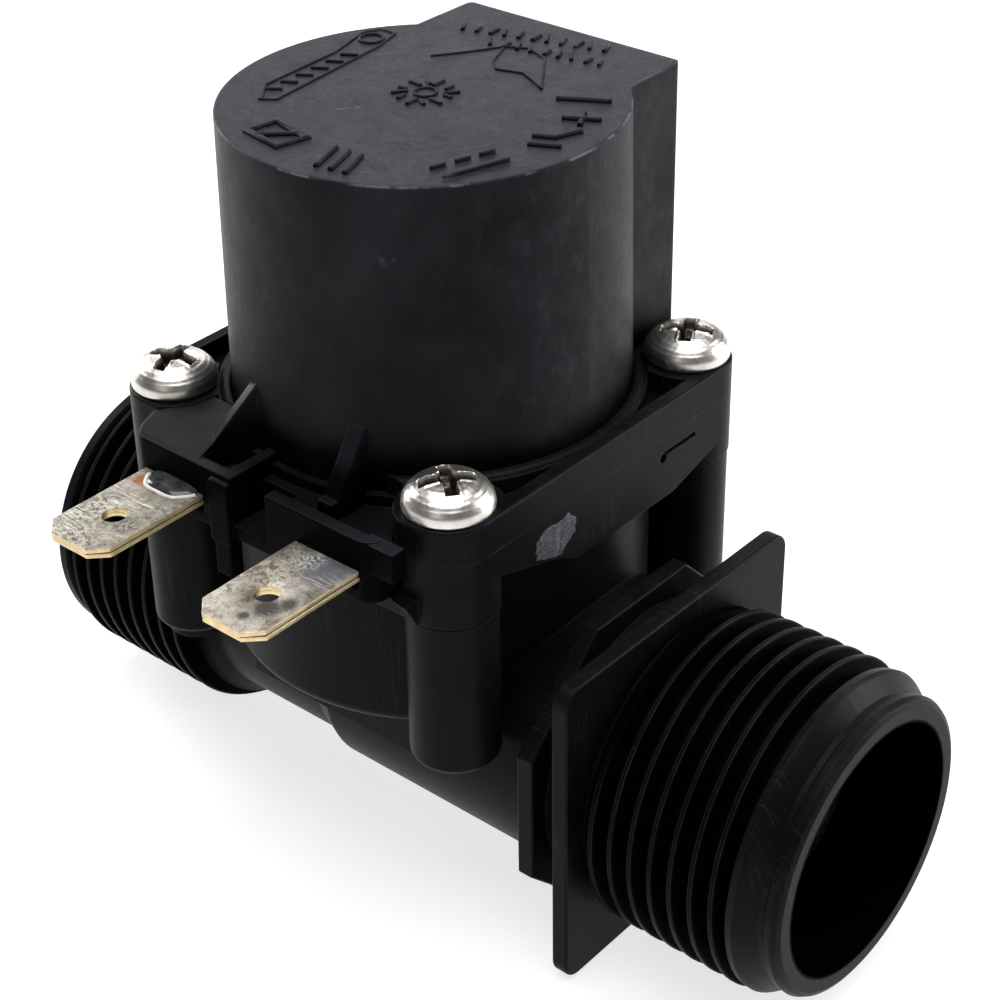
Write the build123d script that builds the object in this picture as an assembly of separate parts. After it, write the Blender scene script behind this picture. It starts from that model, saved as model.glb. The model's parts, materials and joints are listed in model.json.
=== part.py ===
from build123d import *
import math
import os

# ---------------------------------------------------------------------------
# Pilot-operated diaphragm solenoid valve, in line, two 3/4 inch parallel male
# ends. All dimensions in millimetres. Working frame: X is the flow axis
# (inlet towards +X), Z is the coil axis, both through the working origin.
# ---------------------------------------------------------------------------

# pipe thread G 3/4
PITCH = 1.814
R_CREST = 13.22
R_ROOT = 12.06

# ends of the valve body along the flow axis
X_MOUTH = 42.1      # inlet mouth face
X_END = -34.7       # outlet mouth face
R_BORE = 10.2       # bore at both mouths
R_PIPE_IN = 11.85   # outside of the inlet pipe
R_PIPE_OUT = 10.95  # outside of the outlet pipe
R_WAY_IN = 9.6      # inlet waterway
R_WAY_OUT = 9.1     # outlet waterway

X_STRAINER = 34.2   # outer face of the strainer ring

# mounting plates on the inlet pipe
PLATE_X0, PLATE_X1, PLATE_HALF, PLATE_R = 23.2, 24.65, 13.9, 1.6
OCT_X0, OCT_X1, OCT_FLAT = 19.5, 21.0, 13.45

# diaphragm chamber and screw bosses
R_CHAMBER = 17.2
R_CHAMBER_IN = 14.8
Z_CHAMBER_BOT = 4.0
Z_CHAMBER_TOP = 17.6
SCREW = 14.2        # half spacing of the four screws
R_BOSS = 3.5
Z_BOSS_TOP = 17.6   # bonnet seat on the body
Z_CLAMP = 18.4      # top of the clamped diaphragm rim
Z_SEAT = 13.5       # main valve seat
R_SEAT_OUT, R_SEAT_IN = 8.5, 6.9

# bonnet, cover, coil
HALF = 17.8         # half side of the bonnet and cover
R_CORNER = 3.6
Z_PART = 23.2       # parting plane between bonnet and cover
Z_TOP = 26.05       # screw seats on the cover
R_COIL_LOW, R_COIL_TOP = 15.70, 15.36
Z_COIL_TOP = 48.6
BLOCK_HALF, BLOCK_Y = 10.5, 17.45
PLAT_X, PLAT_Y = 12.5, 20.5      # terminal platform half width and reach
Z_PLAT_BOT, Z_PLAT_TOP = 19.9, 25.0

# blade terminals 6.3 x 0.8
TAB_X, TAB_W, TAB_T = 8.0, 6.3, 0.8
TAB_TIP, TAB_ROOT, Z_TAB = 30.95, 17.1, 22.4

# plunger and travel
R_TUBE_IN, R_TUBE_OUT = 5.0, 6.25
R_PLUNGER = 4.93
LIFT = 3.6
DLIFT = 2.6

# row origin: bottom centre of the whole valve
OX = (X_MOUTH + X_END) / 2
OY = (HALF - TAB_TIP) / 2
OZ = -PLATE_HALF

os.makedirs("parts", exist_ok=True)
MIN = (Align.CENTER, Align.CENTER, Align.MIN)


def cyl_z(r, z0, z1, x=0.0, y=0.0):
    return Pos(x, y, z0) * Cylinder(r, z1 - z0, align=MIN)


def cyl_x(r, x0, x1, y=0.0, z=0.0):
    return Pos(x0, y, z) * Rot(0, 90, 0) * Cylinder(r, x1 - x0, align=MIN)


def cyl_y(r, y0, y1, x=0.0, z=0.0):
    return Pos(x, y0, z) * Rot(-90, 0, 0) * Cylinder(r, y1 - y0, align=MIN)


def block(x0, x1, y0, y1, z0, z1):
    return Pos((x0 + x1) / 2, (y0 + y1) / 2, (z0 + z1) / 2) * Box(
        x1 - x0, y1 - y0, z1 - z0)


def rounded(half_x0, half_x1, y0, y1, r, z0, z1):
    w, d = half_x1 - half_x0, y1 - y0
    sk = Pos((half_x0 + half_x1) / 2, (y0 + y1) / 2, z0) * RectangleRounded(w, d, r)
    return extrude(sk, z1 - z0)


def revolve_x(points):
    # points are (x, r) pairs
    face = make_face(Polyline(*[(x, 0, r) for x, r in points], close=True))
    return revolve(face, Axis.X, 360)


def revolve_z(points, x=0.0, y=0.0):
    # points are (r, z) pairs
    face = make_face(Polyline(*[(r, 0, z) for r, z in points], close=True))
    return Pos(x, y, 0) * revolve(face, Axis.Z, 360)


def thread_ridge(x0, x1, phase):
    # one continuous 55 degree ridge, wound on the root cylinder
    h = R_CREST - R_ROOT
    crest, sink = 0.32, 0.25
    t = math.tan(math.radians(27.5))
    foot = crest + 2 * (h + sink) * t
    hel = Helix(PITCH, x1 - x0, R_ROOT)
    sec = Plane(origin=hel @ 0, x_dir=(1, 0, 0), z_dir=hel % 0) * Polygon(
        (-sink, -foot / 2), (h, -crest / 2), (h, crest / 2), (-sink, foot / 2),
        align=None)
    ridge = sweep(sec, path=hel, is_frenet=True)
    return Pos(x0, 0, 0) * Rot(0, 90, 0) * Rot(0, 0, phase) * ridge


def save(name, shape):
    moved = Pos(-OX, -OY, -OZ) * shape
    solids = moved.solids()
    out = Compound(label=name, children=solids) if len(solids) > 1 else solids[0]
    out.label = name
    export_step(out, f"parts/{name}.step")
    return shape


corners = [(sx * SCREW, sy * SCREW) for sx in (-1, 1) for sy in (-1, 1)]

# ---------------------------------------------------------------------------
# valve body: two threaded ends, inlet plates, diaphragm chamber, screw bosses
# ---------------------------------------------------------------------------
core = revolve_x([(X_END, 0), (X_END, 12.35), (X_END + 0.35, 12.7),
                  (X_END + 1.15, 12.7), (X_END + 1.6, R_ROOT), (-17.0, R_ROOT),
                  (-15.9, R_PIPE_OUT), (-4.4, R_PIPE_OUT), (-2.2, R_PIPE_IN),
                  (PLATE_X1 + 0.1, R_PIPE_IN), (PLATE_X1 + 0.1, R_ROOT),
                  (37.9, R_ROOT), (38.3, 12.95), (38.9, 13.05), (39.2, 12.85),
                  (40.3, 11.75), (40.75, 11.75), (40.95, 12.02), (41.5, 12.08),
                  (41.9, 11.85), (X_MOUTH, 11.45), (X_MOUTH, 0)])
ridge_in = thread_ridge(25.9, 37.6, 200)
ridge_out = thread_ridge(-33.0, -18.2, 20)
# the ridges fade out at both ends
keep_in = revolve_x([(PLATE_X1, 0), (PLATE_X1, 12.2), (25.2, 12.25), (27.6, R_CREST + 0.01),
                     (38.0, R_CREST + 0.01), (38.6, 12.4), (38.6, 0)])
keep_out = revolve_x([(-33.6, 0), (-33.6, 12.6), (-32.9, R_CREST + 0.01),
                      (-18.9, R_CREST + 0.01), (-17.2, 12.2), (-17.2, 0)])
body = core + (ridge_in & keep_in) + (ridge_out & keep_out)

plate = Rot(0, 90, 0) * extrude(RectangleRounded(2 * PLATE_HALF, 2 * PLATE_HALF, PLATE_R),
                                PLATE_X1 - PLATE_X0)
plate = fillet(plate.edges().group_by(Axis.X)[0] + plate.edges().group_by(Axis.X)[-1], 0.22)
body += Pos(PLATE_X0, 0, 0) * plate
octagon = Rot(0, 90, 0) * extrude(
    Rot(0, 0, 22.5) * RegularPolygon(OCT_FLAT, 8, major_radius=False), OCT_X1 - OCT_X0)
octagon = fillet(octagon.edges().group_by(Axis.X)[0] + octagon.edges().group_by(Axis.X)[-1], 0.2)
body += Pos(OCT_X0, 0, 0) * octagon

chamber = cyl_z(R_CHAMBER, Z_CHAMBER_BOT, Z_CHAMBER_TOP)
chamber = fillet(chamber.edges().group_by(Axis.Z)[0], 1.2)
body += chamber
for cx, cy in corners:
    post = cyl_z(R_BOSS, 4.2, Z_BOSS_TOP, cx, cy)
    post = fillet(post.edges().group_by(Axis.Z)[0], 0.7)
    body += post
    if cx < 0:
        body += cyl_z(2.5, 3.2, 5.5, cx, cy)
# webs under the chamber, along the flow axis
body += block(-13.0, 13.5, -12.6, 12.6, -0.6, 5.0) & cyl_z(R_CHAMBER - 1.4, -2, 6)

# diaphragm chamber around the seat tube
cavity = cyl_z(R_CHAMBER_IN, 6.6, Z_CHAMBER_TOP + 1)
hump = cyl_x(R_PIPE_OUT, -16.0, 8.6) & cyl_z(R_CHAMBER_IN + 0.5, 0, 12)
seat = cyl_z(R_SEAT_OUT, 0, Z_SEAT)
body = body - (cavity - hump - seat)
body -= cyl_x(R_WAY_IN, 8.6, X_MOUTH + 1)
body -= cyl_x(R_BORE, X_STRAINER, X_MOUTH + 1)
body -= cyl_x(10.0, 32.0, X_STRAINER + 0.1)
body -= cyl_x(R_WAY_OUT, X_END - 1, 6.5)
body -= cyl_x(R_BORE, X_END - 1, -25.0)
body -= cyl_z(R_SEAT_IN, 0, Z_SEAT + 1)
for cx, cy in corners:
    body -= cyl_z(1.8, 7.5, Z_BOSS_TOP + 1, cx, cy)
save("valve_body", body)

# ---------------------------------------------------------------------------
# bonnet: clamps the diaphragm, carries the plunger guide tube
# ---------------------------------------------------------------------------
bonnet = rounded(-HALF, HALF, -HALF, HALF, R_CORNER, Z_BOSS_TOP, Z_PART)
bonnet = fillet(bonnet.edges().group_by(Axis.Z)[0], 0.25)
# room for the terminal platform of the coil
bonnet -= block(-PLAT_X - 0.3, PLAT_X + 0.3, -HALF - 1, -16.9, Z_PLAT_BOT - 0.1, Z_PART + 1)
# shoulders that blend the front bosses into the platform's bed
for sx in (-1, 1):
    shoulder = Pos(sx * SCREW, -SCREW, Z_BOSS_TOP + 0.1) * Cone(3.75, 4.9, 2.05, align=MIN)
    shoulder &= block(-SCREW, SCREW, -20.0, -15.2, 10, 30)
    bonnet += shoulder


def relief(points, cy):
    # the skirt rises towards the boss at cy; points are (y, z)
    cut = extrude(make_face(Polyline(*[(14.0, y, z) for y, z in points], close=True)), 5.0,
                  dir=(1, 0, 0))
    return cut - cyl_z(17.25, 10, 30) - cyl_z(R_CORNER + 0.02, 10, 30, SCREW, cy)


bonnet -= relief([(-16.6, 17.0), (-16.6, 22.0), (-13.9, 21.2), (-10.7, 20.2), (-8.6, 19.6),
                  (-5.6, 18.6), (-2.9, 17.0)], -SCREW)
bonnet -= relief([(5.2, 17.0), (14.5, 19.6), (16.6, 20.2), (16.6, 17.0)], SCREW)
bonnet -= cyl_z(16.4, Z_BOSS_TOP - 1, Z_CLAMP)
bonnet -= cyl_z(13.8, Z_CLAMP - 1, 21.0)
bonnet += cyl_z(R_TUBE_OUT, 21.0, 44.6)
bonnet -= cyl_z(R_TUBE_IN, 20.0, 43.3)
# moulded slot mark and ejector dimple on the inlet side
bonnet -= block(HALF - 0.35, HALF + 1, 6.6, 10.6, 21.55, 21.95)
bonnet -= cyl_x(0.42, HALF - 0.6, HALF + 1, 6.5, 21.4)
for cx, cy in corners:
    bonnet -= cyl_z(1.95, Z_CHAMBER_TOP - 1, Z_PART + 1, cx, cy)
save("bonnet", bonnet)

# ---------------------------------------------------------------------------
# cover: square frame with open moulding pockets, holds the coil down
# ---------------------------------------------------------------------------
cover = rounded(-HALF, HALF, -HALF, HALF, R_CORNER, Z_PART, Z_TOP)
cover = fillet(cover.edges().group_by(Axis.Z)[-1], 0.25)
# the wall is thick enough for the collar to merge with it, not just touch it
WALL = 1.15
pocket = rounded(-HALF + WALL, HALF - WALL, -HALF + WALL, HALF - WALL, 2.8, 24.3, Z_TOP + 1)
pocket -= cyl_z(16.85, 20, 30)
pocket -= block(-BLOCK_HALF - 0.8, BLOCK_HALF + 0.8, 0, 30, 20, 30)
for cx, cy in corners:
    pocket -= cyl_z(4.15, 20, 30, cx, cy)
cover -= pocket
cover -= block(-20, 20, -20, 20, Z_TOP - 0.45, Z_TOP + 1) & (
    cyl_z(16.85, 20, 30) - block(-BLOCK_HALF - 0.8, BLOCK_HALF + 0.8, 0, 30, 20, 30))
# rolled lip on the collar around the coil
lip = revolve_z([(15.5, 24.6), (15.5, 25.72), (15.95, 25.95), (16.3, 25.92), (16.55, 25.78),
                 (16.7, 25.45), (16.72, 24.6)])
cover += lip - block(-BLOCK_HALF - 0.8, BLOCK_HALF + 0.8, 0, 30, 20, 30)
cover -= cyl_z(15.78, Z_PART - 1, Z_TOP + 1)
cover -= cyl_z(16.4, Z_PART - 1, 24.4)
cover -= block(-PLAT_X - 0.3, PLAT_X + 0.3, -HALF - 1, -13.75, Z_PART - 1, Z_TOP + 1) - (
    cyl_z(4.0, 20, 30, SCREW, -SCREW) + cyl_z(4.0, 20, 30, -SCREW, -SCREW))
for cx, cy in corners:
    cover -= cyl_z(1.95, Z_PART - 1, Z_TOP + 1, cx, cy)
save("top_cover", cover)

# ---------------------------------------------------------------------------
# coil internals: bobbin, winding, tape, yoke, pole sleeves, terminals, leads
# ---------------------------------------------------------------------------
bobbin = cyl_z(13.2, 27.7, 28.8) + cyl_z(13.2, 44.0, 45.2) + cyl_z(8.3, 27.7, 45.2)
bobbin -= cyl_z(7.35, 27, 46)
winding = cyl_z(12.4, 28.8, 44.0) - cyl_z(8.3, 28, 45)
tape = cyl_z(12.7, 28.8, 44.0) - cyl_z(12.4, 28, 45)
lower_sleeve = cyl_z(7.3, 24.4, 33.0) - cyl_z(6.4, 24, 34)
upper_sleeve = cyl_z(7.3, 38.5, 46.7) - cyl_z(6.4, 38, 47)
yoke = (block(-9, 9, -9, 15.6, 26.3, 27.7) + block(-9, 9, -9, 15.6, 45.2, 46.7)
        + block(-9, 9, 14.1, 15.6, 26.3, 46.7))
yoke -= cyl_z(7.3, 25, 48)


def tab(cx):
    w = TAB_W / 2
    c = 1.28
    sk = Polygon((cx - w, -TAB_ROOT), (cx + w, -TAB_ROOT), (cx + w, -TAB_TIP + c),
                 (cx + w - c, -TAB_TIP), (cx - w + c, -TAB_TIP), (cx - w, -TAB_TIP + c),
                 align=None)
    blade = extrude(Pos(0, 0, Z_TAB - TAB_T) * sk, TAB_T)
    return blade - cyl_z(0.95, 20, 24, cx, -TAB_TIP + 4.5)


term_left = tab(-TAB_X)
term_right = tab(TAB_X)


def lead(x0):
    # rises from the blade, runs inwards, then up beside the bobbin
    r = 0.25
    y1 = -math.sqrt(13.55 ** 2 - x0 ** 2)
    w = cyl_z(r, Z_TAB, 24.35, x0, -17.45) + (Pos(x0, -17.45, 24.35) * Sphere(r))
    w += cyl_y(r, -17.45, y1, x0, 24.35) + (Pos(x0, y1, 24.35) * Sphere(r))
    w += cyl_z(r, 24.35, 29.6, x0, y1)
    return w


leads = [lead(-6.9), lead(5.9)]

# ---------------------------------------------------------------------------
# coil housing: moulded cylinder with a square back and the terminal platform
# ---------------------------------------------------------------------------
drum = revolve_z([(0, Z_PART), (R_COIL_LOW, Z_PART), (R_COIL_LOW, 25.6),
                  (R_COIL_TOP, Z_COIL_TOP), (0, Z_COIL_TOP)])
drum = fillet(drum.edges().group_by(Axis.Z)[-1], 0.18)
back = block(-BLOCK_HALF, BLOCK_HALF, 2.0, BLOCK_Y, Z_TOP + 0.03, Z_COIL_TOP)
back = fillet(back.edges().filter_by(Axis.Z).group_by(Axis.Y)[-1], 0.5)
housing = drum + back
housing += cyl_z(16.3, Z_PART, 24.3)
plat = rounded(-PLAT_X, PLAT_X, -PLAT_Y, -9.0, 1.4, Z_PART, Z_PLAT_TOP) & block(
    -20, 20, -30, -13.95, 10, 30)
plat += rounded(-PLAT_X, PLAT_X, -PLAT_Y, -14.0, 1.4, Z_PLAT_BOT, Z_PART) & block(
    -20, 20, -30, -16.95, 10, 30)
# on the left the platform rises to the level of the screw seat
ramp = extrude(make_face(Polyline((-PLAT_X, -20.1, 24.9), (-PLAT_X, -17.4, 26.0),
                                  (-PLAT_X, -13.95, 26.0), (-PLAT_X, -13.95, 24.9), close=True)),
               6.9, dir=(1, 0, 0))
plat += ramp & rounded(-PLAT_X, PLAT_X, -PLAT_Y, -9.0, 1.4, 24, 27)
for sx in (-1, 1):
    plat -= cyl_z(4.1, 10, 30, sx * SCREW, -SCREW)
# open pit along the foot of the coil, right and left of the divider
pit = block(-1.7, 12.7, -19.4, -9.0, 23.4, 30) + block(-5.5, -2.7, -19.5, -9.0, 23.4, 30)
pit -= cyl_z(R_COIL_LOW + 0.02, 10, 40)
pit -= block(5.2, 6.6, -18.4, 0, 10, 40)
plat -= pit
# open slot at the front between the divider and the right terminal
plat -= block(-1.7, 1.9, -PLAT_Y - 1, -17.2, 20.9, 30)
housing += plat
# divider nose and locating peg
nose = block(-3.8, -1.75, -20.95, -19.4, 19.2, 24.6)
nose = fillet(nose.edges().group_by(Axis.Z)[-1], 0.45)
housing += nose
housing += block(-3.7, -2.1, -20.7, -19.5, 16.1, 19.3)
# fin on the right and gusset on the left brace the drum to the platform
fin = extrude(make_face(Polyline((5.2, -14.2, 29.7), (5.2, -14.7, 29.7), (5.2, -18.0, 24.4),
                                 (5.2, -18.0, 24.0), (5.2, -14.2, 24.0), close=True)),
              1.4, dir=(1, 0, 0))
housing += fin
gus = make_face(Polyline((-4.1, -14.7, 30.2), (-6.35, -18.6, 24.9), (-6.35, -18.6, 23.6),
                         (-4.1, -14.7, 23.6), close=True))
housing += extrude(gus, 0.5, both=True)
# small lug at the right end of the front wall
housing += block(11.2, 14.3, -20.3, -19.0, 22.5, 24.9)

# moulded marks on the top face, 0.3 mm high
marks = []
MARK = 0.3


def bar(x, y, length, width, angle):
    return Pos(x, y, Z_COIL_TOP - 0.1) * Rot(0, 0, angle) * extrude(
        RectangleRounded(length, width, width * 0.45), MARK + 0.1)


# direct current sign, polarity marks, plain frame, arrow and tick ring
for dx in (-2.0, 0.0, 2.0):
    marks.append(bar(9.6 + dx * 0.30, -6.6 + dx * 0.95, 1.3, 0.42, 72.5))
marks.append(bar(11.3, -7.1, 5.4, 0.42, 72.5))

# cut the internals out of the housing, then the centre bore
housing -= cyl_z(13.2, 27.7, 45.2)
housing -= yoke
housing -= cyl_z(7.3, 24.4, 46.7)
housing -= cyl_z(6.4, Z_PART - 1, 46.9)
housing -= term_left + term_right
for w in leads:
    housing -= w
for m in marks:
    housing += m
save("coil_housing", housing)
save("coil_bobbin", bobbin)
save("copper_winding", winding)
save("winding_tape", tape)
save("magnet_yoke", yoke)
save("lower_pole_sleeve", lower_sleeve)
save("upper_pole_sleeve", upper_sleeve)
save("terminal_left", term_left)
save("terminal_right", term_right)
save("lead_wires", leads[0] + leads[1])

# ---------------------------------------------------------------------------
# plunger, its rubber seal and return spring
# ---------------------------------------------------------------------------
plunger = revolve_z([(0, 18.3), (4.4, 18.3), (R_PLUNGER, 18.8), (R_PLUNGER, 38.6),
                     (4.6, 39.0), (0, 39.0)])
plunger -= cyl_z(2.2, 18, 21.0)
plunger -= cyl_z(3.2, 31.0, 40)
save("plunger", plunger)
save("plunger_seal", cyl_z(2.2, 18.02, 21.0))
hel = Helix(12.2 / 7.0 - 0.09, 12.2 - 0.62, 2.6)
wire = sweep(Plane(origin=hel @ 0, z_dir=hel % 0) * Circle(0.25), path=hel, is_frenet=True)
save("plunger_spring", Pos(0, 0, 31.31) * wire)

# ---------------------------------------------------------------------------
# diaphragm: clamped rim, rolled convolution, seat disc; stiff pilot insert
# ---------------------------------------------------------------------------
diaphragm = revolve_z([(3.05, Z_SEAT), (9.6, Z_SEAT), (10.4, 13.9), (11.4, 15.0), (12.6, 16.6),
                       (13.5, 17.45), (14.4, 17.6), (16.25, 17.6), (16.25, 18.4),
                       (14.0, 18.4), (13.2, 18.25), (12.1, 17.4), (10.9, 15.9), (10.0, 15.1),
                       (3.05, 15.1)])
save("diaphragm", diaphragm)
insert = revolve_z([(0.7, 12.2), (2.4, 12.2), (3.0, 12.6), (3.0, 15.1), (9.4, 15.1),
                    (9.4, 16.1), (8.8, 16.5), (3.4, 16.5), (2.4, 17.2), (1.7, 18.0),
                    (0.7, 18.0)])
for k in range(4):
    fin_k = Rot(0, 0, 90 * k) * block(2.5, 6.4, -0.5, 0.5, 10.6, 13.4)
    insert += fin_k
insert -= cyl_z(0.7, 10, 19)
insert -= cyl_z(0.4, 15, 17, 7.4, 0)
save("diaphragm_insert", insert)

# ---------------------------------------------------------------------------
# inlet strainer: moulded ring with ribs, and its mesh
# ---------------------------------------------------------------------------
ring = cyl_x(9.95, 32.5, X_STRAINER) - cyl_x(8.9, 32, 35)
ring += (block(32.5, X_STRAINER, -9.2, 9.2, -0.5, 0.5)
         + block(32.5, X_STRAINER, -0.5, 0.5, -9.2, 9.2))
save("inlet_strainer", ring)
mesh = cyl_x(9.9, 32.1, 32.5)
holes = []
n = 7
for i in range(-n, n + 1):
    for j in range(-n, n + 1):
        y, z = i * 1.25, j * 1.25
        if math.hypot(abs(y) + 0.4, abs(z) + 0.4) < 8.8:
            holes.append(Pos(32.3, y, z) * Box(2, 0.75, 0.75))
mesh = mesh - holes
save("strainer_mesh", mesh & cyl_x(9.55, 32, 33))

# ---------------------------------------------------------------------------
# four pan head screws with cross recess
# ---------------------------------------------------------------------------
screws = []
for k, (cx, cy) in enumerate(corners):
    s = revolve_z([(0, 8.2), (1.2, 8.2), (1.7, 9.4), (1.7, Z_TOP), (3.3, Z_TOP),
                   (3.42, Z_TOP + 0.25), (3.4, Z_TOP + 0.75), (3.2, Z_TOP + 1.2),
                   (2.8, Z_TOP + 1.65), (2.2, Z_TOP + 2.05), (1.4, Z_TOP + 2.3),
                   (0.6, Z_TOP + 2.42), (0, Z_TOP + 2.44)], cx, cy)
    cross = Pos(cx, cy, Z_TOP + 0.9) * Rot(0, 0, 20 + 31 * k) * (
        Box(4.0, 0.75, 3.2, align=MIN) + Box(0.75, 4.0, 3.2, align=MIN))
    cross &= Pos(cx, cy, Z_TOP + 0.7) * Cone(0.9, 2.1, 1.9, align=MIN)
    screws.append(s - cross)
g = screws[0]
for s in screws[1:]:
    g += s
save("cover_screws", g)
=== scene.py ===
import json
import math
import random

import bmesh
import bpy
from mathutils import Matrix, Vector, noise


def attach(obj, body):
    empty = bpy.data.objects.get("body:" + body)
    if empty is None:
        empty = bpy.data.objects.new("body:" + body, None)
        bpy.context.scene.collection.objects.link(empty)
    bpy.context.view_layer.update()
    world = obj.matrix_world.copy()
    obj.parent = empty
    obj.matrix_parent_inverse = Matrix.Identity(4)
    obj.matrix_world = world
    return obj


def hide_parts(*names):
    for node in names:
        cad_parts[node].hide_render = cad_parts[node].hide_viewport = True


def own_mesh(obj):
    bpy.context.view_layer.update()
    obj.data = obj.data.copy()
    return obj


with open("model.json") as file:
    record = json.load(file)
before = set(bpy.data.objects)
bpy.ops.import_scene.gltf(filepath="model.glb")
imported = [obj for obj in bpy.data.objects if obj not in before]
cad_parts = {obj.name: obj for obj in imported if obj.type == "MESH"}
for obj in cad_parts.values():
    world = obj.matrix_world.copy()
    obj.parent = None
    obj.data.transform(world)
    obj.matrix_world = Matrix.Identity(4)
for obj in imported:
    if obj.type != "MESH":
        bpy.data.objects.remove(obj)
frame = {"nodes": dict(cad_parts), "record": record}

# Solenoid valve. The row frame is in metres. The valve's own axes are easier to
# think in: X along the flow, Z up the coil, both through the middle of the
# valve, in millimetres. P() turns them into the row frame.
OX, OY, OZ = 3.7, -6.575, -13.9
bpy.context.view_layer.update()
nodes = frame["nodes"]
ROOT = "valve"
scene = bpy.context.scene
scene.view_settings.view_transform = "Standard"
scene.view_settings.look = "None"


def P(x, y, z):
    return Vector(((x - OX) * 0.001, (y - OY) * 0.001, (z - OZ) * 0.001))


NICK = P(8.2, -13.1, 43.3)


# ---------------------------------------------------------------------------
# node helpers
# ---------------------------------------------------------------------------
class Mat:
    def __init__(self, name, rough=0.5, metal=0.0, spec=0.5, coat=0.0, coat_rough=0.1,
                 ior=1.5, color=(0.5, 0.5, 0.5), subsurface=0.0, aniso=0.0):
        self.m = bpy.data.materials.new(name)
        self.m.use_nodes = True
        self.t = self.m.node_tree
        self.t.nodes.clear()
        self.out = self.t.nodes.new("ShaderNodeOutputMaterial")
        self.b = self.t.nodes.new("ShaderNodeBsdfPrincipled")
        self.t.links.new(self.b.outputs["BSDF"], self.out.inputs["Surface"])
        self.b.inputs["Roughness"].default_value = rough
        self.b.inputs["Metallic"].default_value = metal
        self.b.inputs["Specular IOR Level"].default_value = spec
        self.b.inputs["Coat Weight"].default_value = coat
        self.b.inputs["Coat Roughness"].default_value = coat_rough
        self.b.inputs["IOR"].default_value = ior
        self.b.inputs["Anisotropic"].default_value = aniso
        self.b.inputs["Base Color"].default_value = (*color, 1)
        self.m.diffuse_color = (*color, 1)
        self.tc = self.t.nodes.new("ShaderNodeTexCoord")
        self.obj = self.tc.outputs["Object"]
        self.geo = self.t.nodes.new("ShaderNodeNewGeometry")
        self.normal = None

    def put(self, sock, v):
        if hasattr(v, "is_output"):
            self.t.links.new(v, sock)
        elif isinstance(v, (tuple, list)) and len(v) == 3 and sock.type == "RGBA":
            sock.default_value = (*v, 1)
        else:
            sock.default_value = v

    def math(self, op, a, b=0.0, clamp=False):
        n = self.t.nodes.new("ShaderNodeMath")
        n.operation = op
        n.use_clamp = clamp
        self.put(n.inputs[0], a)
        self.put(n.inputs[1], b)
        return n.outputs[0]

    def vmath(self, op, a, b=(0, 0, 0), out=0):
        n = self.t.nodes.new("ShaderNodeVectorMath")
        n.operation = op
        self.put(n.inputs[0], a)
        self.put(n.inputs[1], b)
        return n.outputs["Value"] if out == "Value" else n.outputs[0]

    def place(self, scale=(1, 1, 1), rot=(0, 0, 0), loc=(0, 0, 0), src=None):
        n = self.t.nodes.new("ShaderNodeMapping")
        n.inputs["Scale"].default_value = scale
        n.inputs["Rotation"].default_value = rot
        n.inputs["Location"].default_value = loc
        self.t.links.new(src or self.obj, n.inputs["Vector"])
        return n.outputs[0]

    def noise(self, scale, detail=3.0, rough=0.55, vec=None, dist=0.0):
        n = self.t.nodes.new("ShaderNodeTexNoise")
        n.inputs["Scale"].default_value = scale
        n.inputs["Detail"].default_value = detail
        n.inputs["Roughness"].default_value = rough
        n.inputs["Distortion"].default_value = dist
        self.t.links.new(vec or self.obj, n.inputs["Vector"])
        return n.outputs["Fac"]

    def voronoi(self, scale, feature="F1", vec=None, rand=1.0, out="Distance"):
        n = self.t.nodes.new("ShaderNodeTexVoronoi")
        n.feature = feature
        n.inputs["Scale"].default_value = scale
        n.inputs["Randomness"].default_value = rand
        self.t.links.new(vec or self.obj, n.inputs["Vector"])
        return n.outputs[out]

    def band(self, v, lo, hi, a=0.0, b=1.0):
        n = self.t.nodes.new("ShaderNodeMapRange")
        n.interpolation_type = "SMOOTHSTEP"
        n.clamp = True
        self.put(n.inputs["Value"], v)
        n.inputs["From Min"].default_value = lo
        n.inputs["From Max"].default_value = hi
        n.inputs["To Min"].default_value = a
        n.inputs["To Max"].default_value = b
        return n.outputs["Result"]

    def ramp(self, v, stops):
        n = self.t.nodes.new("ShaderNodeValToRGB")
        cr = n.color_ramp
        while len(cr.elements) < len(stops):
            cr.elements.new(0.5)
        for e, (p, c) in zip(cr.elements, stops):
            e.position = p
            e.color = (*c, 1)
        self.put(n.inputs["Fac"], v)
        return n.outputs["Color"]

    def mix(self, f, a, b, mode="MIX"):
        n = self.t.nodes.new("ShaderNodeMix")
        n.data_type = "RGBA"
        n.blend_type = mode
        n.clamp_factor = True
        self.put(n.inputs[0], f)
        self.put(n.inputs[6], a)
        self.put(n.inputs[7], b)
        return n.outputs[2]

    def lerp(self, f, a, b):
        n = self.t.nodes.new("ShaderNodeMix")
        n.data_type = "FLOAT"
        n.clamp_factor = True
        self.put(n.inputs[0], f)
        self.put(n.inputs[2], a)
        self.put(n.inputs[3], b)
        return n.outputs[0]

    def bump(self, height, strength, dist):
        n = self.t.nodes.new("ShaderNodeBump")
        n.inputs["Strength"].default_value = strength
        n.inputs["Distance"].default_value = dist
        self.put(n.inputs["Height"], height)
        if self.normal is not None:
            self.t.links.new(self.normal, n.inputs["Normal"])
        self.normal = n.outputs["Normal"]
        return self.normal

    def edges(self, radius, gain):
        """1 on the edges, 0 on flat ground; the normal that comes with it rounds them."""
        n = self.t.nodes.new("ShaderNodeBevel")
        n.samples = 6
        n.inputs["Radius"].default_value = radius
        d = self.vmath("DOT_PRODUCT", n.outputs[0], self.geo.outputs["Normal"], out="Value")
        f = self.math("SUBTRACT", 1.0, d)
        self.bevel_normal = n.outputs[0]
        return self.math("MULTIPLY", f, gain, clamp=True)

    def xyz(self, src=None):
        n = self.t.nodes.new("ShaderNodeSeparateXYZ")
        self.t.links.new(src or self.obj, n.inputs[0])
        return n.outputs

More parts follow.
